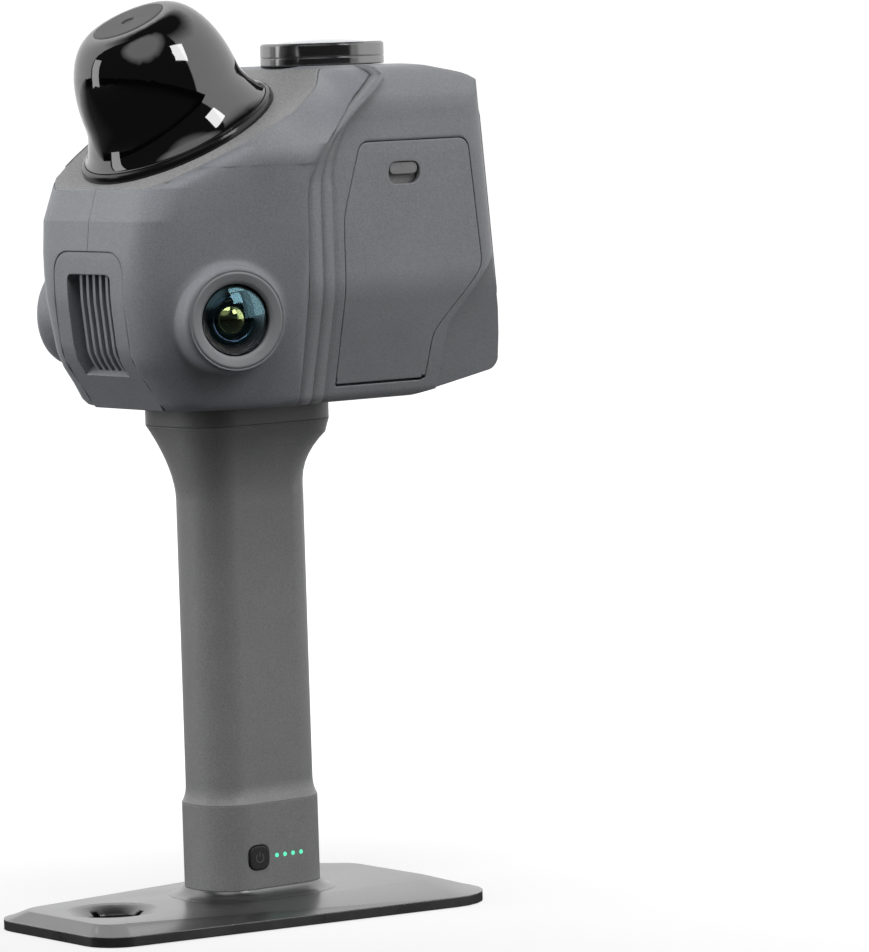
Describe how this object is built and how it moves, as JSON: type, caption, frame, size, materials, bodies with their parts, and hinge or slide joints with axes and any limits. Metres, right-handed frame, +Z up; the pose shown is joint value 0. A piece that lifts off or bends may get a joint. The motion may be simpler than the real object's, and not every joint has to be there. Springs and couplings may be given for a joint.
{
  "type": "handheld lidar scanner",
  "caption": "Handheld lidar scanner: tilted spinning-lidar dome and cameras on a moulded head with a hinged port hatch, battery grip with power button, flat survey base plate.",
  "frame": {"origin": "on the underside of the base plate, under the grip axis", "axes": "+Z up the grip, -Y to the front where the vent and the dome look, +X to the hatch side"},
  "size_m": [0.0996, 0.1562, 0.2898],
  "materials": {
    "plate_metal": "black anodised, satin",
    "steel": "turned",
    "foot_plastic": "fine moulded grain",
    "grip_plastic": "fine moulded grain",
    "cell_wrap": "shrink-wrapped cell",
    "circuit_board": "solder mask",
    "button_plastic": "satin",
    "light_lens": "lit, translucent",
    "collar_plastic": "fine moulded grain",
    "cowl_plastic": "fine moulded grain",
    "deck_plastic": "coarse moulded grain",
    "housing_plastic": "fine moulded grain",
    "latch_plastic": "fine moulded grain",
    "panel_plastic": "satin",
    "display_glass": "dark gloss",
    "module_metal": "satin",
    "vent_plastic": "fine moulded grain",
    "fan_plastic": "satin",
    "seal_rubber": "satin",
    "lidar_metal": "anodised",
    "dome_glass": "infrared-passing, high gloss black",
    "dome_cap": "satin",
    "rotor_plastic": "satin",
    "bezel_metal": "satin paint",
    "lens_glass": "coated",
    "barrel_metal": "black anodised",
    "top_glass": "pale, gloss",
    "connector_steel": "plated",
    "card_plastic": "satin"
  },
  "bodies": {
    "scanner": {"base_plate": "plate_metal", "base_screw": "steel", "grip_foot": "foot_plastic", "grip_shell": "grip_plastic", "grip_studs": "steel", "battery_cells": "cell_wrap", "battery_contact": "circuit_board", "button_board": "circuit_board", "led_lenses": "light_lens", "collar": "collar_plastic", "front_cowl_right": "cowl_plastic", "front_cowl_left": "cowl_plastic", "deck": "deck_plastic", "rear_housing": "housing_plastic", "rear_panel": "panel_plastic", "display_glass": "display_glass", "display_module": "module_metal", "vent_grille": "vent_plastic", "fan_frame": "fan_plastic", "chassis": "module_metal", "main_board": "circuit_board", "heat_sink": "module_metal", "lidar_seal_ring": "seal_rubber", "lidar_base": "lidar_metal", "lidar_dome": "dome_glass", "lidar_cap": "dome_cap", "camera_bezel_right": "bezel_metal", "camera_bezel_left": "bezel_metal", "camera_lens_right": "lens_glass", "camera_lens_left": "lens_glass", "camera_barrel_right": "barrel_metal", "camera_barrel_left": "barrel_metal", "top_camera_barrel": "barrel_metal", "top_camera_lens": "top_glass", "hinge_pin": "steel", "port_board": "circuit_board", "port_connectors": "connector_steel"},
    "hatch": {"hatch": "housing_plastic"},
    "latch": {"latch_slider": "latch_plastic"},
    "button": {"power_button": "button_plastic"},
    "lidar_drum": {"lidar_rotor": "rotor_plastic"},
    "fan_wheel": {"fan_rotor": "fan_plastic"},
    "card": {"memory_card": "card_plastic"}
  },
  "joints": [
    {"name": "hatch_hinge", "type": "hinge", "parent": "scanner", "child": "hatch", "pos_m": [0.03745, 0.028, 0.1703], "axis": [0, 1, 0], "range_deg": [0, 80]},
    {"name": "latch_slide", "type": "slide", "parent": "hatch", "child": "latch", "axis": [0, 0, -1], "range_m": [0, 0.0028], "stiffness_N_per_m": 150, "springref_m": -0.002},
    {"name": "power_press", "type": "slide", "parent": "scanner", "child": "button", "axis": [-1, 0, 0], "range_m": [0, 0.0008], "stiffness_N_per_m": 800, "springref_m": -0.001},
    {"name": "lidar_spin", "type": "hinge", "parent": "scanner", "child": "lidar_drum", "pos_m": [0, -0.0194, 0.24775], "axis": [0, -0.4462, 0.8949], "continuous": true},
    {"name": "fan_spin", "type": "hinge", "parent": "scanner", "child": "fan_wheel", "pos_m": [0, -0.0396, 0.1896], "axis": [0, -1, 0], "continuous": true},
    {"name": "card_slide", "type": "slide", "parent": "scanner", "child": "card", "axis": [1, 0, 0], "range_m": [0, 0.003]}
  ]
}
